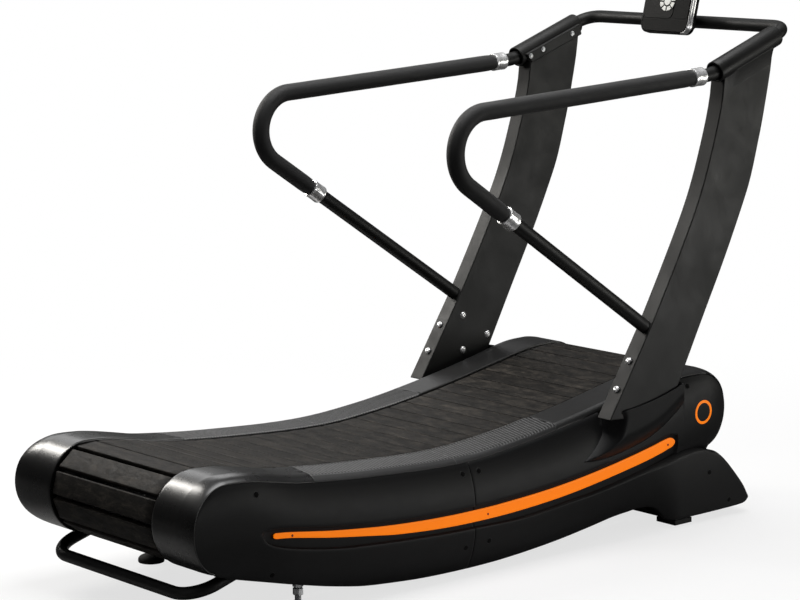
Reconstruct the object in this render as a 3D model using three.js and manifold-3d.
// Curved manual treadmill: a free-standing running machine whose slat belt runs
// over a concave track between two drums. Millimetres, +Z up, +X to the
// runner's right, +Y the running direction. The origin is on the floor under
// the middle of the bounding box. A "station" is a Y value before Y_SHIFT, and
// side-view points are [station, height].
import * as THREE from 'three';
import { mergeVertices } from 'three/addons/utils/BufferGeometryUtils.js';
import Module from 'manifold-3d';

const wasm = await Module();
wasm.setup();

// ---------------------------------------------------------------- dimensions
const Y_SHIFT = -436.9;            // moves the stations so that the box is centred

const OPENING_HALF = 216;          // half width of the slot the belt runs in
const BELT_HALF = 208;             // half length of a slat
const SLAT_PITCH = 62;
const SLAT_GAP = 3;
const SLAT_TOP = 18;               // slat surface above the hinge line
const SLAT_BOTTOM = 3;             // slat edge underside above the hinge line
const BELT_INSIDE = 4;             // inner belt surface below the hinge line
const BELT_SINK = 4;               // belt surface below the cover surface
const BELT_SAG = 52;               // sag of the return run

const REAR_DRUM = [-502, 263];     // drum axes
const FRONT_DRUM = [1160, 316];
const HINGE_R = 101;               // hinge line radius round a drum
const DRUM_R = 89;
const SHAFT_R = 12.5;

const CAP_R = 121;                 // rear end caps
const NOSE_R = 118;                // front end caps
const SHEET = 3.2;                 // moulded cover thickness
const CROWN = 33;                  // side cover crown depth
const CROWN_H = 141;
const SIDE_MAX = 378;              // half width over the side covers
const CHANNEL = 9;                 // depth of the channel that carries the strip
const JOINT_GAP = 0.4;             // each cover stops this far short of a joint

const UP_IN = 354;                 // uprights: inner and outer face
const UP_OUT = 404;
const UP_WALL = 4;

const RAIL_X = 390;                // handrail plane
const RAIL_END = [380, 919, 585];  // where the lower end of a handrail meets its upright
const RAIL_R = 19;                 // bare tube
const RAIL_BORE = 16.4;
const RAIL_BEND = 102;
const RAIL_BEND_CENTRE = [306.7, 1107.7];
const RAIL_SLOPE = 0.0577;         // angle of the top run, radians
const RAIL_DROP = Math.atan(0.6546);  // angle that sets the end of the bend
const GRIP_R = 23.5;
const GRIP_BORE = RAIL_R + 1.4;
const COLLAR_R = 25.5;
const COLLAR_L = 42;

const SLEEVE_R = 30;
const SLEEVE_REAR = [1170, 1266];  // ends of the sleeve axis
const SLEEVE_FRONT = [1414, 1355];

const BAR_R = 18.5;                // crossbar
const BAR_BORE = 16;
const BAR_Y = 1472;
const BAR_Z = 1376;
const BAR_BEND = 60;

const HANDLE_R = 16;               // rear lifting handle
const HANDLE_BORE = 13.5;
const HANDLE_X = 300;
const HANDLE_REAR = [-567, 89];    // its rearmost run
const HANDLE_SLOPE = 0.2975;       // rise per millimetre forwards
const HANDLE_BEND = 74;

const FOOT_X = 307;
const FOOT_Y = -245;
const WHEEL_X = 300;
const WHEEL_Y = 1292;
const WHEEL_Z = 44;
const WHEEL_R = 35;

const CONSOLE_W = 184;
const CONSOLE_H = 220;
const CONSOLE_CORNER = 27;
const CONSOLE_TILT = 14;           // degrees
const CONSOLE_BASE = [1377, 1346]; // lower edge of its front surface

// ---------------------------------------------------------------- plane helpers
const lerp = (a, b, t) => a + (b - a) * t;
const radians = (degrees) => (degrees * Math.PI) / 180;
const polar = (centre, radius, angle) =>
  [centre[0] + radius * Math.cos(angle), centre[1] + radius * Math.sin(angle)];

function direction(from, to) {
  const length = Math.hypot(to[0] - from[0], to[1] - from[1]);
  return [(to[0] - from[0]) / length, (to[1] - from[1]) / length];
}
// a point moved along a unit direction and to the left of it
function shifted(point, dir, along, left) {
  return [point[0] + dir[0] * along - dir[1] * left, point[1] + dir[1] * along + dir[0] * left];
}
function offsetLeft(line, distance) {
  return line.map((point, i) => {
    const before = line[Math.max(0, i - 1)];
    const after = line[Math.min(line.length - 1, i + 1)];
    return shifted(point, direction(before, after), 0, distance);
  });
}
function polygon(centre, radius, sides) {
  return Array.from({ length: sides }, (_, k) => polar(centre, radius, (k / sides) * 2 * Math.PI));
}

// ---------------------------------------------------------------- curves
// a function of station: cubic interpolation of [station, value] rows, held at the ends
function curve(rows) {
  const last = rows.length - 1;
  const slopes = rows.map((_, i) => {
    const before = rows[Math.max(0, i - 1)];
    const after = rows[Math.min(last, i + 1)];
    return (after[1] - before[1]) / (after[0] - before[0]);
  });
  return (y) => {
    if (y <= rows[0][0]) return rows[0][1];
    if (y >= rows[last][0]) return rows[last][1];
    let i = 0;
    while (y > rows[i + 1][0]) i++;
    const span = rows[i + 1][0] - rows[i][0];
    const t = (y - rows[i][0]) / span;
    const t2 = t * t;
    const t3 = t2 * t;
    return (2 * t3 - 3 * t2 + 1) * rows[i][1] + (t3 - 2 * t2 + t) * span * slopes[i]
      + (-2 * t3 + 3 * t2) * rows[i + 1][1] + (t3 - t2) * span * slopes[i + 1];
  };
}

// running surface of the covers beside the belt
const deck = curve([
  [-502, 384], [-450, 381], [-410, 375.5], [-350, 364], [-290, 352], [-190, 340.5],
  [-110, 333], [-40, 328], [80, 320.5], [160, 316.5], [250, 314.5], [310, 315.5], [370, 319],
  [440, 325.5], [530, 335.5], [620, 348.5], [700, 361.5], [780, 376], [865, 393], [950, 410],
  [1030, 426], [1090, 435], [1160, 438]]);
// lower edge of the side covers
const hem = curve([
  [-566, 163], [-534, 147], [-485, 131], [-434, 117], [-368, 101], [-300, 84.5],
  [-226, 67], [-178, 56], [-80, 37], [-30, 30.5], [20, 26], [71, 22], [122, 18.5], [200, 16],
  [300, 15.5], [387, 17], [441, 19.5], [497, 23], [552, 27], [609, 31.5], [666, 37], [723, 43.5],
  [781, 50.5], [840, 58], [899, 65]]);
// lower lip of the strip channel, also the top edge of the front skirt
const lip = curve([
  [-430, 236], [-411, 226], [-399, 215], [-382, 204], [-364, 197], [-340, 190],
  [-292, 179], [-231, 168], [-170, 159], [-120, 153.5], [-30, 147], [77, 140], [211, 134],
  [346, 131.5], [427, 130.5], [483, 132], [540, 136], [597, 142], [655, 148], [724, 154],
  [783, 162], [843, 171], [903, 181], [964, 191.5], [1026, 203], [1057, 210], [1088, 215.5],
  [1119, 217], [1151, 213.5], [1183, 205], [1208, 195]]);
// edges of the coloured strip
const stripTop = curve([
  [-366, 223], [-315, 223], [-188, 205], [-58, 191], [9, 185.5], [76, 181.5],
  [144, 178.5], [214, 177], [284, 177], [355, 178], [427, 181], [501, 185], [575, 190.5],
  [650, 198], [726, 207.5], [804, 219], [882, 232], [961, 246.5], [1030, 260], [1046, 256]]);
const stripBottom = curve([
  [-366, 216], [-315, 209], [-188, 188], [-58, 170], [9, 161], [76, 155],
  [144, 150.5], [214, 147.5], [284, 146.5], [355, 147], [428, 149], [501, 153], [575, 158.5],
  [650, 166], [727, 176], [804, 187.5], [882, 200], [962, 214.5], [1030, 231], [1046, 242]]);
// height of the widest line of the side covers
const crownLine = curve([
  [-625, 263], [-450, 261], [-300, 212], [-100, 182], [100, 165], [292, 158],
  [500, 165], [700, 190], [900, 230], [1060, 290], [1160, 316], [1280, 316]]);
// lower edge of the front side covers where they clear the foot of the upright
const notch = curve([
  [655, 250], [700, 250], [760, 251], [820, 253], [865, 258], [904, 267], [945, 280],
  [985, 296], [1026, 315], [1060, 334], [1080, 348]]);

// half width of the side cover at a point
function side(y, z) {
  const rise = Math.abs(z - crownLine(y)) / CROWN_H;
  return SIDE_MAX - CROWN * Math.pow(rise, 2.6);
}

// ---------------------------------------------------------------- solids
function solid(geometry) {
  const bare = geometry.clone();
  for (const name of Object.keys(bare.attributes)) {
    if (name !== 'position') bare.deleteAttribute(name);
  }
  const merged = mergeVertices(bare, 1e-4);
  const source = merged.index.array;
  const triangles = [];
  for (let i = 0; i < source.length; i += 3) {
    const [a, b, c] = source.slice(i, i + 3);
    if (a !== b && b !== c && a !== c) triangles.push(a, b, c);
  }
  return new wasm.Manifold(new wasm.Mesh({
    numProp: 3,
    vertProperties: new Float32Array(merged.attributes.position.array),
    triVerts: new Uint32Array(triangles),
  }));
}
function geometryOf(body) {
  const mesh = body.getMesh();
  const geometry = new THREE.BufferGeometry();
  const positions = new Float32Array(mesh.vertProperties);
  geometry.setAttribute('position', new THREE.BufferAttribute(positions, 3));
  geometry.setIndex(new THREE.BufferAttribute(new Uint32Array(mesh.triVerts), 1));
  return geometry;
}
function flipped(geometry) {
  const copy = geometry.clone();
  const index = copy.index.array;
  for (let i = 0; i < index.length; i += 3) {
    [index[i], index[i + 2]] = [index[i + 2], index[i]];
  }
  return copy;
}
// a solid whose faces are turned outwards whichever way the geometry winds
function outward(geometry) {
  const body = solid(geometry);
  return body.volume() < 0 ? solid(flipped(geometry)) : body;
}
function fromFaces(points, indices) {
  const geometry = new THREE.BufferGeometry();
  const positions = new Float32Array(points.flat());
  geometry.setAttribute('position', new THREE.BufferAttribute(positions, 3));
  geometry.setIndex(indices);
  return outward(geometry);
}
const union = (...bodies) => bodies.reduce((a, b) => a.add(b));
const cut = (body, ...tools) => tools.reduce((a, b) => a.subtract(b), body);
const withMirror = (body) => body.add(body.mirror([1, 0, 0]));

// a box from its [low, high] range on each axis
function box([x0, x1], [y0, y1], [z0, z1]) {
  const geometry = new THREE.BoxGeometry(x1 - x0, y1 - y0, z1 - z0);
  geometry.translate((x0 + x1) / 2, (y0 + y1) / 2, (z0 + z1) / 2);
  return solid(geometry);
}
const turnFromY = (dir) =>
  new THREE.Quaternion().setFromUnitVectors(new THREE.Vector3(0, 1, 0), dir.normalize());

// a cylinder between two points
function rod(from, to, radius, segments) {
  const start = new THREE.Vector3(...from);
  const end = new THREE.Vector3(...to);
  const span = end.clone().sub(start);
  const geometry = new THREE.CylinderGeometry(radius, radius, span.length(), segments);
  geometry.applyQuaternion(turnFromY(span));
  const middle = start.add(end).multiplyScalar(0.5);
  geometry.translate(middle.x, middle.y, middle.z);
  return solid(geometry);
}
// a profile turned about an axis; its rows are [radius, distance along the axis]
function turned(profile, origin, axis, segments) {
  const rows = profile.map((row) => new THREE.Vector2(...row));
  const geometry = new THREE.LatheGeometry(rows, segments);
  geometry.applyQuaternion(turnFromY(new THREE.Vector3(...axis)));
  geometry.translate(...origin);
  return outward(geometry);
}
const ringProfile = (inner, outer, from, to) =>
  [[inner, from], [outer, from], [outer, to], [inner, to], [inner, from]];

function extruded(points, holes, depth, placement) {
  const vectors = points.map((p) => new THREE.Vector2(...p));
  if (THREE.ShapeUtils.isClockWise(vectors)) vectors.reverse();
  const shape = new THREE.Shape(vectors);
  for (const hole of holes) {
    shape.holes.push(new THREE.Path(hole.map((p) => new THREE.Vector2(...p))));
  }
  const geometry = new THREE.ExtrudeGeometry(shape, { depth, bevelEnabled: false });
  geometry.applyMatrix4(placement);
  return solid(geometry);
}
// a side-view outline extruded from x0 to x1
function slab(points, x0, x1, holes = []) {
  const placement = new THREE.Matrix4().set(0, 0, 1, x0, 1, 0, 0, 0, 0, 1, 0, 0, 0, 0, 0, 1);
  return extruded(points, holes, x1 - x0, placement);
}
// a front-view outline of [x, z] points extruded from y0 to y1
function plate(points, y0, y1, holes = []) {
  const placement = new THREE.Matrix4().set(1, 0, 0, 0, 0, 0, -1, y1, 0, 1, 0, 0, 0, 0, 0, 1);
  return extruded(points, holes, y1 - y0, placement);
}
// rings of equal length joined one after another, closed by flat ends
// that are triangulated from the given flat section
function loft(rings, section) {
  const n = rings[0].length;
  const indices = [];
  for (let i = 0; i + 1 < rings.length; i++) {
    for (let j = 0; j < n; j++) {
      const a = i * n + j;
      const b = i * n + (j + 1) % n;
      indices.push(a, b, a + n, b, b + n, a + n);
    }
  }
  const flat = section.map((p) => new THREE.Vector2(...p));
  const turn = Math.sign(THREE.ShapeUtils.area(flat));
  const last = (rings.length - 1) * n;
  for (const triangle of THREE.ShapeUtils.triangulateShape(flat, [])) {
    const sameTurn = Math.sign(THREE.ShapeUtils.area(triangle.map((k) => flat[k]))) === turn;
    const [a, b, c] = sameTurn ? triangle : [triangle[2], triangle[1], triangle[0]];
    indices.push(c, b, a, last + a, last + b, last + c);
  }
  return fromFaces(rings.flat(), indices);
}
const PIPE_SEGMENTS = 12;
// circles along a path; every path here starts square to X, so the first one is set out from +X
function pipeRings(path, radius) {
  const centres = path.map((p) => new THREE.Vector3(...p));
  const up = new THREE.Vector3(1, 0, 0);
  let previous = null;
  return centres.map((centre, i) => {
    const before = i > 0 ? centre.clone().sub(centres[i - 1]).normalize() : null;
    const next = centres[i + 1];
    const after = next ? next.clone().sub(centre).normalize() : null;
    const tangent = before && after ? before.clone().add(after).normalize() : before || after;
    if (previous) {
      up.applyQuaternion(new THREE.Quaternion().setFromUnitVectors(previous, tangent)).normalize();
    }
    previous = tangent;
    const across = new THREE.Vector3().crossVectors(tangent, up).normalize();
    return polygon([0, 0], radius, PIPE_SEGMENTS).map(([u, v]) =>
      centre.clone().addScaledVector(up, u).addScaledVector(across, v).toArray());
  });
}
// a round tube along a list of points
function pipe(path, radius, bore) {
  const n = PIPE_SEGMENTS;
  const outer = pipeRings(path, radius);
  const inner = pipeRings(path, bore);
  const off = outer.length * n;
  const end = (outer.length - 1) * n;
  const indices = [];
  for (let j = 0; j < n; j++) {
    const k = (j + 1) % n;
    for (let first = 0; first < end; first += n) {
      const a = first + j;
      const b = first + k;
      const c = a + n;
      const d = b + n;
      indices.push(a, b, c, b, d, c);
      indices.push(off + a, off + c, off + b, off + b, off + c, off + d);
    }
    indices.push(j, off + j, k, k, off + j, off + k);
    indices.push(end + j, end + k, off + end + j, end + k, off + end + k, off + end + j);
  }
  return fromFaces([...outer.flat(), ...inner.flat()], indices);
}
// a curved sheet from columns of { x, y, z } on its outer face; the inner face
// lies `thickness` nearer the middle, at height innerZ where a point gives one
function sheet(columns, thickness) {
  const I = columns.length;
  const J = columns[0].length;
  const outer = columns.flat();
  const points = [
    ...outer.map((p) => [p.x, p.y, p.z]),
    ...outer.map((p) => [p.x - thickness, p.y, p.innerZ ?? p.z]),
  ];
  const off = I * J;
  const at = (i, j) => i * J + j;
  const indices = [];
  for (let i = 0; i + 1 < I; i++) {
    for (let j = 0; j + 1 < J; j++) {
      const a = at(i, j);
      const b = at(i + 1, j);
      const c = at(i + 1, j + 1);
      const d = at(i, j + 1);
      indices.push(a, b, c, a, c, d);
      indices.push(off + a, off + c, off + b, off + a, off + d, off + c);
    }
  }
  const rim = (a, b) => indices.push(a, off + b, b, a, off + a, off + b);
  for (let i = 0; i + 1 < I; i++) {
    rim(at(i, 0), at(i + 1, 0));
    rim(at(i + 1, J - 1), at(i, J - 1));
  }
  for (let j = 0; j + 1 < J; j++) {
    rim(at(0, j + 1), at(0, j));
    rim(at(I - 1, j), at(I - 1, j + 1));
  }
  return fromFaces(points, indices);
}
// one sheet column through the given heights, each interval split into equal cells
function columnThrough(y, heights, cells, halfWidth = side) {
  const column = [];
  const add = (z) => column.push({ x: halfWidth(y, z), y, z });
  add(heights[0]);
  for (let i = 0; i + 1 < heights.length; i++) {
    for (let k = 1; k <= cells; k++) add(lerp(heights[i], heights[i + 1], k / cells));
  }
  return column;
}

// ---------------------------------------------------------------- scene
const root = new THREE.Group();
const treadmill = new THREE.Group();
treadmill.position.y = Y_SHIFT;
root.add(treadmill);

const standard = (options) => new THREE.MeshStandardMaterial(options);
const materials = {
  cover: standard({ color: 0x1d1d1f, roughness: 0.45, metalness: 0 }),
  capGloss: standard({ color: 0x2a2a2c, roughness: 0.3, metalness: 0 }),
  rail: standard({ color: 0x3a3a3b, roughness: 0.7, metalness: 0 }),
  frame: standard({ color: 0x161617, roughness: 0.5, metalness: 0.4 }),
  slat: standard({ color: 0x2b2724, roughness: 0.85, metalness: 0 }),
  orange: standard({ color: 0xff8400, roughness: 0.45, metalness: 0 }),
  chrome: standard({ color: 0xd8d8da, roughness: 0.12, metalness: 1 }),
  steel: standard({ color: 0xa8a8ac, roughness: 0.35, metalness: 0.9 }),
  foam: standard({ color: 0x141415, roughness: 0.95, metalness: 0 }),
  rubber: standard({ color: 0x0e0e0f, roughness: 0.9, metalness: 0 }),
  screen: standard({ color: 0x050608, roughness: 0.08, metalness: 0 }),
  silver: standard({ color: 0xb9bcc0, roughness: 0.3, metalness: 0.8 }),
  white: standard({ color: 0xe8e8e8, roughness: 0.5, metalness: 0 }),
};
function put(name, body, material) {
  const mesh = new THREE.Mesh(geometryOf(body), material);
  mesh.name = name;
  treadmill.add(mesh);
}
// the right-hand piece and its mirror image
function putPair(name, body, material) {
  put(`${name}_right`, body, material);
  const geometry = geometryOf(body);
  geometry.scale(-1, 1, 1);
  put(`${name}_left`, solid(flipped(geometry)), material);
}

// ---------------------------------------------------------------- belt
// the closed hinge line, clockwise as seen with the front to the right
function beltPath() {
  const path = [];
  for (let y = -480; y <= 1140; y += 20) path.push([y, deck(y) - BELT_SINK - SLAT_TOP]);
  for (let a = 84; a >= -96; a -= 6) path.push(polar(FRONT_DRUM, HINGE_R, radians(a)));
  const start = [FRONT_DRUM[0] - 14, FRONT_DRUM[1] - HINGE_R + 1];
  const end = [REAR_DRUM[0] + 18, REAR_DRUM[1] - HINGE_R + 1];
  for (let k = 1; k < 40; k++) {
    const t = k / 40;
    const sag = 4 * BELT_SAG * t * (1 - t);
    path.push([lerp(start[0], end[0], t), lerp(start[1], end[1], t) - sag]);
  }
  for (let a = 262; a >= 90; a -= 6) path.push(polar(REAR_DRUM, HINGE_R, radians(a)));
  return path;
}
// points evenly spaced round a closed path, at the pitch nearest the one given
function evenly(path, pitch) {
  const next = (i) => path[(i + 1) % path.length];
  const lengths = path.map((p, i) => Math.hypot(next(i)[0] - p[0], next(i)[1] - p[1]));
  const total = lengths.reduce((a, b) => a + b, 0);
  const count = Math.round(total / pitch);
  const points = [];
  let i = 0;
  let run = 0;
  for (let k = 0; k < count; k++) {
    const distance = (k * total) / count;
    while (run + lengths[i] < distance) {
      run += lengths[i];
      i++;
    }
    const t = (distance - run) / lengths[i];
    points.push([lerp(path[i][0], next(i)[0], t), lerp(path[i][1], next(i)[1], t)]);
  }
  return points;
}
function buildBelt() {
  const hinges = evenly(beltPath(), SLAT_PITCH);
  const n = hinges.length;
  const half = SLAT_GAP / 2;
  const outer = [];
  const inner = [];
  hinges.forEach((hinge, i) => {
    const next = hinges[(i + 1) % n];
    const before = hinges[(i + n - 1) % n];
    const dir = direction(hinge, next);
    outer.push(shifted(hinge, dir, half, SLAT_BOTTOM), shifted(hinge, dir, half, SLAT_TOP));
    outer.push(shifted(next, dir, -half, SLAT_TOP), shifted(next, dir, -half, SLAT_BOTTOM));
    inner.push(shifted(hinge, direction(before, next), 0, -BELT_INSIDE));
  });
  put('slat_belt', slab(outer, -BELT_HALF, BELT_HALF, [inner]), materials.slat);
}

// ---------------------------------------------------------------- drums
function buildDrums() {
  // [radius, x] from the left shaft end to the middle
  const leftHalf = [[0, -272], [SHAFT_R, -272], [SHAFT_R, -196], [DRUM_R, -190],
    [DRUM_R, -140], [82, -140], [82, -180], [24, -184]];
  const profile = [...leftHalf, ...leftHalf.map(([r, x]) => [r, -x]).reverse()];
  put('rear_drum', turned(profile, [0, ...REAR_DRUM], [1, 0, 0], 16), materials.steel);
  put('front_drum', turned(profile, [0, ...FRONT_DRUM], [1, 0, 0], 16), materials.steel);

  const bore = SHAFT_R + 1.2;
  const bearing = [[bore, 239], [36, 239], [36, 249], [27, 249], [27, 264], [bore, 264],
    [bore, 239]];
  for (const [name, centre] of [['rear_bearing', REAR_DRUM], ['front_bearing', FRONT_DRUM]]) {
    putPair(name, turned(bearing, [0, ...centre], [1, 0, 0], 12), materials.steel);
  }
}

// ---------------------------------------------------------------- sleeve and handrail lines
const sleeveDir = direction(SLEEVE_REAR, SLEEVE_FRONT);
const sleeveLen = Math.hypot(SLEEVE_FRONT[0] - SLEEVE_REAR[0], SLEEVE_FRONT[1] - SLEEVE_REAR[1]);
// side-view point beside the sleeve axis, `above` measured square to it
const offSleeve = (along, above) => shifted(SLEEVE_REAR, sleeveDir, along, above);
const onSleeve = (along) => [RAIL_X, ...offSleeve(along, 0)];

// lower leg of a handrail, from the end of the bend down to the upright
const legTop = [
  RAIL_X,
  RAIL_BEND_CENTRE[0] - RAIL_BEND * Math.sin(RAIL_DROP),
  RAIL_BEND_CENTRE[1] - RAIL_BEND * Math.cos(RAIL_DROP),
];
const legLen = Math.hypot(...RAIL_END.map((v, i) => v - legTop[i]));
const legDir = RAIL_END.map((v, i) => (v - legTop[i]) / legLen);
const onLeg = (distance) => RAIL_END.map((v, i) => v + legDir[i] * distance);

// ---------------------------------------------------------------- uprights
const UP_REAR_LINE = [[753, 338], [803, 417], [867, 516], [925, 607], [1015, 762],
  [1084, 890], [1120, 972], [1148, 1052], [1173, 1134], [1188, 1200], [1194, 1262]];
const UP_FRONT_LINE = [[987.8, 338], [1045, 446], [1120, 585], [1211, 752], [1284, 900],
  [1314, 972], [1340, 1062], [1358, 1130], [1386, 1262], [1394, 1330]];
const INNER_BOLTS = [[925, 524], [1023, 457], [925, 421]];
// bolts in the rear wall, and how far outside it each head sits
const LOW_REAR_BOLT = [809.5, 428];
const REAR_BOLTS = [{ at: [859, 498.5], seat: 4.4 }, { at: LOW_REAR_BOLT, seat: 1.6 }];
const REAR_BOLT_X = (UP_IN + UP_OUT) / 2;
const WALL_DIR = [0.566, 0.824];   // rear wall at its bolts, upwards; its left is outside
const onRearBolt = (at, out) => [REAR_BOLT_X, ...shifted(at, WALL_DIR, 0, out)];

function buildUprights() {
  // the inner hollow runs past both ends of the outer shape
  const rear = offsetLeft(UP_REAR_LINE, -UP_WALL);
  const front = offsetLeft(UP_FRONT_LINE, UP_WALL);
  const hollow = [
    [rear[0][0] - 12, 318], ...rear, [rear.at(-1)[0], 1420],
    [front.at(-1)[0] + 4, 1420], ...front.reverse(), [front.at(-1)[0] - 11, 318],
  ];
  let body = cut(
    slab([...UP_REAR_LINE, ...UP_FRONT_LINE.slice().reverse()], UP_IN, UP_OUT),
    slab(hollow, UP_IN + UP_WALL, UP_OUT - UP_WALL),
    // saddle under the sleeve
    rod(onSleeve(-60), onSleeve(sleeveLen + 60), SLEEVE_R + 0.4, 24),
    // anything left above the saddle
    slab([offSleeve(-120, -21), offSleeve(-120, 200), offSleeve(400, 200), offSleeve(400, -21)],
      UP_IN - 5, UP_OUT + 5),
  );
  for (const at of INNER_BOLTS) {
    body = cut(body, rod([UP_IN - 5, ...at], [UP_IN + 15, ...at], 4.6, 10));
  }
  for (const { at } of REAR_BOLTS) {
    body = cut(body, rod(onRearBolt(at, 10), onRearBolt(at, -16), 4.6, 10));
  }
  // entry of the lower handrail end through the rear wall
  body = cut(body, rod(onLeg(-60), onLeg(22), RAIL_R + 0.5, 16));
  putPair('upright', body, materials.frame);
}
// bolts through the inner and rear walls, joined by plates inside the upright
function buildUprightBolts() {
  const plateIn = UP_IN + UP_WALL + 0.4;
  const plateOut = UP_IN + UP_WALL + 3.4;
  const byWall = (along, out) => shifted(LOW_REAR_BOLT, WALL_DIR, along, out);
  const innerPlate = [[900, 412], [915, 402], [1040, 448], [1036, 476], [932, 546], [905, 540]];
  const rearPlate = [byWall(-14, -5.2), byWall(104, -5.2), byWall(104, -8.4), byWall(-14, -8.4)];
  const bridge = [byWall(24, -6), byWall(72, -6), [940, 500], [930, 440]];
  let bolts = union(
    slab(innerPlate, plateIn, plateOut),
    slab(rearPlate, plateIn, UP_OUT - UP_WALL - 0.6),
    slab(bridge, plateIn, plateOut),
  );
  const head = [[0, 0], [8.5, 0], [8.5, 3], [5.6, 5.7], [0, 5.7]];
  for (const at of INNER_BOLTS) {
    bolts = union(bolts,
      rod([UP_IN + UP_WALL + 2, ...at], [UP_IN - 1.5, ...at], 4, 8),
      turned(head, [UP_IN - 0.4, ...at], [-1, 0, 0], 8));
  }
  for (const { at, seat } of REAR_BOLTS) {
    bolts = union(bolts,
      rod(onRearBolt(at, -7), onRearBolt(at, seat + 1.5), 4, 8),
      turned(head, onRearBolt(at, seat), [0, -WALL_DIR[1], WALL_DIR[0]], 8));
  }
  putPair('upright_bolts', bolts, materials.chrome);
}

// ---------------------------------------------------------------- sleeves
function buildSleeves() {
  const L = sleeveLen;
  const profile = [[25, -1.5], [SLEEVE_R, -1.5], [SLEEVE_R, L], [SLEEVE_R - 2, L + 1.5],
    [20, L + 1.5], [20, 34], [25, 34], [25, -1.5]];
  // cheek plates that hang over the top of the upright, the inner one with a web to the sleeve
  const cheek = (top) => [offSleeve(30, top), offSleeve(L - 8, top),
    offSleeve(L - 14, -44), offSleeve(60, -44)];
  const web = [offSleeve(30, -10), offSleeve(L - 8, -10), offSleeve(L - 8, -15),
    offSleeve(30, -15)];
  const body = union(
    turned(profile, onSleeve(0), [0, ...sleeveDir], 20),
    slab(cheek(-10), UP_IN - 5, UP_IN - 0.5),
    slab(web, UP_IN - 5, RAIL_X - 23),
    slab(cheek(-18), UP_OUT + 0.5, UP_OUT + 4.5),
  );
  putPair('sleeve', body, materials.frame);
}

// ---------------------------------------------------------------- handrails
function buildHandrails() {
  const X = RAIL_X;
  const bend = [[X, 700, 1232.5]];   // rear end of the top run, then the bend
  for (let k = 0; k <= 8; k++) {
    const angle = Math.PI / 2 + RAIL_SLOPE + (k / 8) * (Math.PI - RAIL_SLOPE - RAIL_DROP);
    bend.push([X, ...polar(RAIL_BEND_CENTRE, RAIL_BEND, angle)]);
  }
  // out of the sleeve, back along the top run, round the bend and down to the upright
  const rail = [onSleeve(78), onSleeve(40), onSleeve(10), [X, 1158, 1262.4], [X, 1140, 1258.8],
    [X, 1100, 1255.9], ...bend, onLeg(-250), onLeg(10)];
  putPair('handrail', pipe(rail, RAIL_R, RAIL_BORE), materials.frame);

  // foam grip from collar to collar
  const grip = [[X, 1071, 1254.2], ...bend, onLeg(-651)];
  putPair('grip', pipe(grip, GRIP_R, GRIP_BORE), materials.foam);

  const collar = ringProfile(GRIP_BORE, COLLAR_R, 0, COLLAR_L);
  const topDir = [0, Math.cos(RAIL_SLOPE), Math.sin(RAIL_SLOPE)];
  putPair('upper_collar', turned(collar, [X, 1072, 1254.3], topDir, 14), materials.chrome);
  putPair('lower_collar', turned(collar, onLeg(-650), legDir, 14), materials.chrome);
}

// ---------------------------------------------------------------- crossbar
function buildCrossbar() {
  const bend = new THREE.QuadraticBezierCurve3(
    new THREE.Vector3(...onSleeve(sleeveLen + 2)),
    new THREE.Vector3(RAIL_X, BAR_Y, BAR_Z),
    new THREE.Vector3(RAIL_X - BAR_BEND, BAR_Y, BAR_Z),
  );
  const right = [onSleeve(100), onSleeve(sleeveLen - 4),
    ...bend.getPoints(5).map((v) => v.toArray())];
  const left = right.map(([x, y, z]) => [-x, y, z]).reverse();
  put('crossbar', pipe([...right, ...left], BAR_R, BAR_BORE), materials.frame);
}

// ---------------------------------------------------------------- console
// rounded rectangle of [x, z] points, drawn in by `inset` all round
function roundedRect({ halfWidth, bottom, top, corner }, inset) {
  const radius = corner - inset;
  const x = halfWidth - corner;
  const low = bottom + corner;
  const high = top - corner;
  const corners = [[x, low, -90], [x, high, 0], [-x, high, 90], [-x, low, 180]];
  return corners.flatMap(([cx, cz, start]) =>
    [0, 1, 2, 3, 4].map((k) => polar([cx, cz], radius, radians(start + k * 22.5))));
}
// from the console's own upright frame to its tilted place
function placeConsole(body) {
  const geometry = geometryOf(body);
  geometry.applyMatrix4(new THREE.Matrix4().makeRotationX(-radians(CONSOLE_TILT)));
  geometry.translate(0, ...CONSOLE_BASE);
  return solid(geometry);
}
function buildConsole() {
  const body = { halfWidth: CONSOLE_W / 2, bottom: 0, top: CONSOLE_H, corner: CONSOLE_CORNER };
  const window = { halfWidth: 70, bottom: 130, top: 202, corner: 6 };
  const button = [0, 92];
  const add = (name, piece, material) => put(name, placeConsole(piece), material);

  // shell: a tray open towards the runner
  const shell = cut(plate(roundedRect(body, 3), 20, 34), plate(roundedRect(body, 7), 19, 30));
  add('console_back', shell, materials.cover);
  const trim = plate(roundedRect(body, 0), 2, 19.6, [roundedRect(body, 4)]);
  add('console_trim', trim, materials.silver);
  const openings = [polygon(button, 29.5, 20), roundedRect(window, 0)];
  add('console_face', plate(roundedRect(body, 4.5), 0, 6, openings), materials.screen);
  add('console_display', plate(roundedRect(window, 0.5), 1.5, 7), materials.screen);
  const ring = plate(polygon(button, 28.8, 20), -1.2, 5, [polygon(button, 12.8, 16)]);
  add('ring_button', ring, materials.white);
  add('centre_button', plate(polygon(button, 12, 16), -1.6, 5), materials.white);
}
// clamp round the crossbar with an arm to the shell
function buildConsoleClamp() {
  const profile = ringProfile(BAR_R + 0.4, BAR_R + 6, -30, 30);
  const arm = cut(
    slab([[1423.5, 1361], [1460, 1353], [1460, 1399], [1434.5, 1405]], -26, 26),
    rod([-40, BAR_Y, BAR_Z], [40, BAR_Y, BAR_Z], BAR_R + 2, 16),
  );
  const ring = turned(profile, [0, BAR_Y, BAR_Z], [1, 0, 0], 16);
  put('console_clamp', union(ring, arm), materials.frame);
}

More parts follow.
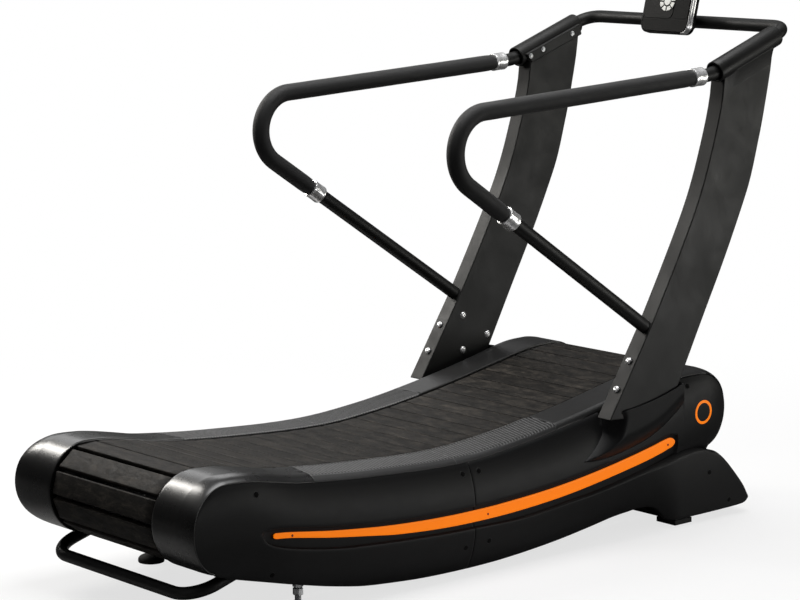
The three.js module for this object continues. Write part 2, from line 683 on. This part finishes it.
// ---------------------------------------------------------------- covers beside the belt
const JOINT_A = -205;              // stations of the deck cover joints, rear to front
const JOINT_B = 260;
const JOINT_C = 632;
const DECK_ROLL = 12.5;            // depth of the rolled outer edge along the deck
const COVER_EDGE_X = 346;          // half width to which the flat section is drawn

// depth of the rolled outer edge of the rear caps by angle in degrees
const capRoll = (a) => (a > 150 ? 3.5 : 3.5 + (8.5 * (150 - a)) / 58);

// places along a cover: { y, z, normal, roll }
function deckPath(y0, y1, step) {
  const count = Math.max(1, Math.round((y1 - y0) / step));
  return Array.from({ length: count + 1 }, (_, k) => {
    const y = lerp(y0, y1, k / count);
    const slope = (deck(y + 1) - deck(y - 1)) / 2;
    const length = Math.hypot(1, slope);
    return { y, z: deck(y), normal: [-slope / length, 1 / length], roll: DECK_ROLL };
  });
}
function onArc(centre, radius, degrees, roll) {
  const angle = radians(degrees);
  const [y, z] = polar(centre, radius, angle);
  return { y, z, normal: [Math.cos(angle), Math.sin(angle)], roll };
}
// section of a cover at a place, with an inner flange of the given depth
function coverRing({ y, z, normal, roll }, flange) {
  const spread = side(y, z - normal[1] * 12) - COVER_EDGE_X;
  const inside = SHEET + 0.2;
  // [x, depth below the surface]
  const section = [
    [OPENING_HALF, flange], [OPENING_HALF, 0], [316, 0],
    [330 + spread * 0.5, roll * 0.2], [340 + spread * 0.8, roll * 0.55],
    [346.5 + spread, roll], [343.5 + spread, roll + 1.2],
    [337.5 + spread * 0.8, roll * 0.55 + inside], [329 + spread * 0.5, roll * 0.2 + inside],
    [315, SHEET], [OPENING_HALF + SHEET, SHEET], [OPENING_HALF + SHEET, flange],
  ];
  return section.map(([x, depth]) => [x, y - normal[0] * depth, z - normal[1] * depth]);
}
// flat section [x, height] with the same corners, used to triangulate the cover ends
const COVER_SECTION = [[216, -16], [216, 0], [316, 0], [330, -2], [340, -6], [346, -10],
  [343, -11.5], [337, -9], [329, -5.5], [315, -3.2], [219, -3.2], [219, -16]];
const coverAlong = (path, flange) => loft(path.map((p) => coverRing(p, flange)), COVER_SECTION);

function buildDeckCovers() {
  // rear end caps wrap the drum end from below and run up onto the deck
  const rear = [];
  for (let a = 248; a > 92; a -= 12) rear.push(onArc(REAR_DRUM, CAP_R, a, capRoll(a)));
  rear.push(...deckPath(-490, JOINT_A - JOINT_GAP, 48));
  putPair('rear_end_cap', coverAlong(rear, 14), materials.capGloss);

  const footRail = (from, to, step) =>
    coverAlong(deckPath(from + JOINT_GAP, to - JOINT_GAP, step), 16);
  putPair('foot_rail_rear', footRail(JOINT_A, JOINT_B, 78), materials.rail);
  putPair('foot_rail_front', footRail(JOINT_B, JOINT_C, 75), materials.rail);

  // front deck covers, over the drum and down to the nose joint
  const onNose = (a, roll) => onArc(FRONT_DRUM, NOSE_R + 3, a, roll);
  const front = [...deckPath(JOINT_C + JOINT_GAP, 1120, 61), onNose(90, 12), onNose(75.5, 11.5)];
  putPair('front_deck_cover', coverAlong(front, 16), materials.capGloss);

  const nose = [];
  for (let a = 75; a >= -67; a -= 14.1) nose.push(onNose(a, 10.5));
  putPair('front_end_cap', coverAlong(nose, 12), materials.cover);
}

// ---------------------------------------------------------------- side covers
const SEAM = 292;                  // joint between the rear and front side covers
const CHANNEL_REAR = -405;         // the channel starts here and deepens
const CHANNEL_RAMP = 24;           // over this length
const UNDER_DECK = 14.8;           // top edge of the side covers below the deck line
const UNDER_CAP = 2.6;             // clearance of the side cover under a rolled cap edge
const CAP_HEM_R = CAP_R - 6.1;     // lower edge under the rear cap

const channelTop = (y) => stripTop(y) + 11;

// column from the top edge down to the channel's upper edge and in to its floor
function upperColumn(y, top, depth) {
  const edge = Math.min(channelTop(y), top - 14);
  const column = columnThrough(y, [top, edge], 3);
  const corner = column.at(-1);
  corner.innerZ = edge + SHEET;
  column.push({ ...corner, x: corner.x - depth });
  return column;
}
// the rest of the column, from the channel floor out to the lip and down to the hem
function lowerColumn(y, bottom, depth) {
  const column = columnThrough(y, [lip(y), bottom], 3);
  const corner = column[0];
  corner.innerZ = lip(y) - SHEET;
  return [{ ...corner, x: corner.x - depth }, ...column];
}
function buildRearSideCovers() {
  const edges = [];                // [station, top, bottom]
  for (const a of [170, 154, 138, 122, 106]) {
    const [y, top] = polar(REAR_DRUM, CAP_R - capRoll(a) - UNDER_CAP, radians(a));
    edges.push([y, top, REAR_DRUM[1] - Math.sqrt(CAP_HEM_R ** 2 - (y - REAR_DRUM[0]) ** 2)]);
  }
  const stations = [-484, -440, -412, -396, -372, -325, -240, -140, -30, 80, 180,
    SEAM - JOINT_GAP];
  for (const y of stations) edges.push([y, deck(y) - UNDER_DECK, hem(y)]);

  const columns = edges.map(([y, top, bottom]) => {
    if (y < CHANNEL_REAR) {
      // behind the channel the same rows are spread over the plain face
      const height = top - bottom;
      const middle = Math.min(Math.max(236, bottom + 0.35 * height), bottom + 0.62 * height);
      return columnThrough(y, [top, middle + 3, middle - 3, bottom], 3);
    }
    const ramp = ((y - CHANNEL_REAR) / CHANNEL_RAMP) * CHANNEL;
    const depth = Math.max(0.6, Math.min(CHANNEL, ramp));
    return [...upperColumn(y, top, depth), ...lowerColumn(y, bottom, depth)];
  });
  putPair('side_cover_rear', sheet(columns, SHEET), materials.cover);
}

// front side cover with the round nose
function frontSideCover() {
  const radius = NOSE_R - 11.8;
  const nose = (y) => Math.sqrt(Math.max(0, radius * radius - (y - FRONT_DRUM[0]) ** 2));
  const topEdge = (y) => {
    if (y >= FRONT_DRUM[0]) return FRONT_DRUM[1] + nose(y);
    if (y > 740 && y < 1082) return notch(y) + 2.5;
    return deck(y) - (y > 1060 ? 17 : UNDER_DECK);
  };
  const stations = [SEAM + JOINT_GAP, 390, 500, 600, 700, 738, 742, 820, 900, 975, 1020, 1049,
    1053, 1072, 1084, 1120, 1160, 1180, 1199, 1201.5, 1225, 1245, 1258, 1266];
  const columns = stations.map((y) => {
    if (y < 1062) {
      // these columns end on the channel floor, above the skirt
      const depth = y > 1051 ? 0.6 : CHANNEL;
      const column = upperColumn(y, Math.max(topEdge(y), channelTop(y) + 6), depth);
      const z = lip(y) + JOINT_GAP;
      column.push({ x: side(y, z) - depth, y, z });
      return column;
    }
    const bottom = y < 1200 ? lip(y) + JOINT_GAP : FRONT_DRUM[1] - nose(y);
    return columnThrough(y, [topEdge(y), bottom], 5);
  });
  return sheet(columns, SHEET);
}
// fairing round the foot of the upright
function footFairing() {
  const topLine = curve([[750, 360], [788, 374], [815, 374.5], [851, 377], [891, 382.5],
    [932, 389.5], [976, 399.5], [1013, 409.5], [1050, 421]]);
  const bulgeX = 411.5;
  // [bottom station, top station, share of the full bulge, top height, bottom height];
  // heights left out come from the curves
  const stations = [[655, 708, 0, 348], [684, 736, 0.92, 357], [712, 788, 1]];
  for (let i = 1; i <= 6; i++) stations.push([lerp(712, 1064, i / 6), lerp(788, 1048, i / 6), 1]);
  stations.push([1075, 1060, 0.02], [1087, 1087, 0, 404, 350]);

  const columns = stations.map(([yBottom, yTop, share, top, bottom]) => {
    const zTop = top ?? Math.min(topLine(yTop), deck(yTop) - 17);
    const zBottom = bottom ?? notch(yBottom) - 1;
    return [1, 0.8, 0.6, 0.4, 0.25, 0.12, 0].map((v) => {
      const y = lerp(yBottom, yTop, v);
      const z = lerp(zBottom, zTop, v);
      const bulge = THREE.MathUtils.smoothstep(v, 0, 0.42) * share;
      return { x: lerp(side(y, z) + 0.3, bulgeX, bulge), y, z };
    });
  });
  return sheet(columns, SHEET);
}
// skirt below the channel lip, with its arch and the wall across its front
function buildFrontSkirts() {
  const frontLow = curve([[899, 65], [925, 69.5], [950, 71.5], [975, 70], [1000, 60], [1018, 42],
    [1032, 27], [1060, 23], [1150, 22], [1250, 22.5], [1330, 24.5], [1352, 29], [1363, 40]]);
  const frontHigh = curve([[1195, 201], [1215, 198], [1232, 190], [1262, 167], [1302, 126],
    [1342, 81], [1363, 50]]);
  const low = (y) => (y < 899 ? hem(y) : frontLow(y));
  const high = (y) => (y < 1195 ? Math.max(lip(y), y > 1175 ? 201 : 0) : frontHigh(y));
  // the crowned side blends into a flatter one towards the front
  const halfWidth = (y, z) => {
    const blend = THREE.MathUtils.clamp((y - 820) / 260, 0, 1);
    return lerp(side(y, z), 379 - 6 * ((z - 110) / 110) ** 2, blend);
  };
  const stations = [SEAM + JOINT_GAP, 380, 470, 560, 640, 720, 800, 860, 899, 935, 965, 990,
    1008, 1020, 1033, 1090, 1140, 1185, 1212, 1240, 1275, 1310, 1340, 1363];
  const columns = stations.map((y) => columnThrough(y, [high(y), low(y)], 4, halfWidth));
  // sloping front wall that turns inboard
  const wall = [[1214, 197], [1240, 184], [1275, 153], [1310, 117], [1340, 82.5], [1361.5, 49],
    [1361.5, 37], [1357, 37], [1357, 47], [1336, 80], [1306, 114], [1271, 150], [1237, 180],
    [1212, 193]];
  const skirt = union(sheet(columns, SHEET), slab(wall, 250, 374.6));
  putPair('front_skirt', skirt, materials.cover);
}
// coloured strips lie in the channel
function buildStrips() {
  const thickness = 3.2;
  const standOff = 5.2;            // strip face above the channel floor
  const stations = [-366, -350, -315, -240, -150, -58, 40, 144, 250, 355, 460, 560, 650, 740,
    820, 900, 975, 1012, 1030, 1040, 1046];
  const columns = stations.map((y) => {
    const top = stripTop(y);
    const bottom = stripBottom(y);
    const x = Math.min(side(y, top), side(y, bottom)) - CHANNEL + standOff;
    return columnThrough(y, [top, bottom], 2, () => x);
  });
  putPair('side_strip', sheet(columns, thickness), materials.orange);
}

// ---------------------------------------------------------------- base frame
const PLATE_X = [228, 234];        // side plates of the frame
const PLATE_MID = (PLATE_X[0] + PLATE_X[1]) / 2;

function sidePlate() {
  const low = curve([[-560, 200], [-470, 160], [-380, 130], [-245, 92], [-100, 62], [100, 44],
    [300, 40], [500, 48], [700, 66], [860, 84], [1000, 92], [1130, 70], [1195, 104]]);
  const top = [[-560, 320]];
  for (let y = -425; y <= 1060; y += 135) top.push([y, Math.min(deck(y) - 26, 402)]);
  top.push([1195, 370]);
  const bottom = top.map(([y]) => [y, low(y)]).reverse();
  let body = slab([...top, ...bottom], ...PLATE_X);
  // bores for the drum shafts
  for (const centre of [REAR_DRUM, FRONT_DRUM]) {
    body = cut(body, rod([-300, ...centre], [300, ...centre], SHAFT_R + 3, 12));
  }
  return body;
}
function buildBaseFrame() {
  const footHole = rod([FOOT_X, FOOT_Y, 60], [FOOT_X, FOOT_Y, 120], 8.6, 12);
  const rearMember = box([-332, 332], [FOOT_Y - 22, FOOT_Y + 22], [74, 108]);
  const stub = [[800, 316], [838, 376], [878, 434], [905, 474], [990, 474], [955, 400],
    [905, 316]];
  const rightSide = union(
    sidePlate(),
    // lug just ahead of the rear handle leg
    box([PLATE_MID, 322], [-331, -300], [140, 182]),
    // outriggers
    box([PLATE_MID, 330], [60, 100], [150, 190]),
    box([PLATE_MID, 330], [420, 460], [160, 200]),
    box([PLATE_MID, 371], [812, 960], [276, 308]),
    // stub inside the foot of the upright, and the block that joins it on
    slab(stub, 363.5, 397),
    box([363.5, 371], [812, 905], [290, 330]),
  );
  let frame = union(
    withMirror(rightSide),
    // lower cross members; the rear one carries the levelling feet
    cut(rearMember, footHole, footHole.mirror([1, 0, 0])),
    box([-PLATE_MID, PLATE_MID], [1085, 1137], [62.4, 96]),
  );
  // cross tubes inside the belt loop
  for (const y of [-200, 130, 460, 790]) {
    const z = deck(y) - 100;
    frame = union(frame, box([-PLATE_MID, PLATE_MID], [y - 20, y + 20], [z - 20, z + 20]));
  }
  put('base_frame', frame, materials.frame);
}
// curved rail under each belt edge, its top a row of tapered teeth
function buildRollerTracks() {
  const y0 = -340;
  const y1 = 1010;
  const teeth = 22;                // intervals between teeth
  const clearance = 2.2;
  const points = [];
  for (let k = 0; k <= teeth; k++) {
    const y = lerp(y0, y1, k / teeth);
    const z = deck(y) - BELT_SINK - SLAT_TOP - BELT_INSIDE - clearance;
    points.push([y - 15, z - 15], [y - 7, z - 1.5], [y + 7, z - 1.5], [y + 15, z - 15]);
  }
  for (let y = y1 + 15; y >= y0 - 20; y -= 136.9) points.push([y, deck(y) - 75.5]);
  putPair('roller_track', slab(points, 158, 184), materials.steel);
}

// ---------------------------------------------------------------- floor contact
function buildFloorPads() {
  const pad = box([286, 357], [1077, 1145], [0, 14]);
  const recess = box([300, 343], [1090, 1132], [-1, 3]);
  putPair('floor_pad', cut(pad, recess), materials.rubber);
}
function buildLevellingFeet() {
  const profile = [[0, 0], [35, 0], [35, 5], [30, 10], [14, 13], [8, 14], [8, 124], [0, 124]];
  putPair('levelling_foot', turned(profile, [FOOT_X, FOOT_Y, 0], [0, 0, 1], 14), materials.steel);

  const placement = new THREE.Matrix4().makeTranslation(FOOT_X, FOOT_Y, 61);
  const nut = cut(
    extruded(polygon([0, 0], 13.8, 6), [], 12, placement),
    rod([FOOT_X, FOOT_Y, 55], [FOOT_X, FOOT_Y, 80], 8.5, 16),
  );
  putPair('foot_locknut', nut, materials.steel);
}
function buildTransportWheels() {
  const bore = 5.4;
  const half = 13;                 // half width of a wheel
  const chamfer = 3;
  const profile = [[bore, -half], [WHEEL_R - chamfer, -half], [WHEEL_R, chamfer - half],
    [WHEEL_R, half - chamfer], [WHEEL_R - chamfer, half], [bore, half], [bore, -half]];
  const wheel = turned(profile, [WHEEL_X, WHEEL_Y, WHEEL_Z], [1, 0, 0], 16);
  putPair('transport_wheel', wheel, materials.rubber);
}
// beam over the floor pads, with a fork and axle for each transport wheel
function buildFrontCrossbeam() {
  const arm = [[1138, 30], [1138, 58], [1200, 64], [1306, 54], [1306, 34], [1190, 26]];
  const fork = union(
    slab(arm, WHEEL_X - 20, WHEEL_X - 15),
    slab(arm, WHEEL_X + 15, WHEEL_X + 20),
    rod([WHEEL_X - 24, WHEEL_Y, WHEEL_Z], [WHEEL_X + 24, WHEEL_Y, WHEEL_Z], 5, 12),
  );
  const beam = box([-352, 352], [1080, 1142], [14.4, 62]);
  put('front_crossbeam', union(beam, withMirror(fork)), materials.frame);
}
// U-shaped lifting handle in a plane that rises towards the front
function buildRearHandle() {
  const [yRear, zRear] = HANDLE_REAR;
  const inPlane = (x, y) => [x, y, zRear + HANDLE_SLOPE * (y - yRear)];
  const bendY = yRear + HANDLE_BEND;
  const right = [inPlane(HANDLE_X, -339), inPlane(HANDLE_X, bendY + 60)];
  for (let a = 0; a <= 90; a += 15) {
    right.push(inPlane(...polar([HANDLE_X - HANDLE_BEND, bendY], HANDLE_BEND, -radians(a))));
  }
  const left = right.map(([x, y, z]) => [-x, y, z]).reverse();
  put('rear_handle', pipe([...right, ...left], HANDLE_R, HANDLE_BORE), materials.frame);
}

// ---------------------------------------------------------------- assembly
buildBelt();
buildDrums();
buildUprights();
buildUprightBolts();
buildSleeves();
buildHandrails();
buildCrossbar();
buildConsole();
buildConsoleClamp();
buildDeckCovers();
buildRearSideCovers();
buildFrontSkirts();
putPair('side_cover_front', union(frontSideCover(), footFairing()), materials.cover);
buildStrips();
buildBaseFrame();
buildRollerTracks();
buildFloorPads();
buildLevellingFeet();
buildTransportWheels();
buildFrontCrossbeam();
buildRearHandle();

export default root;
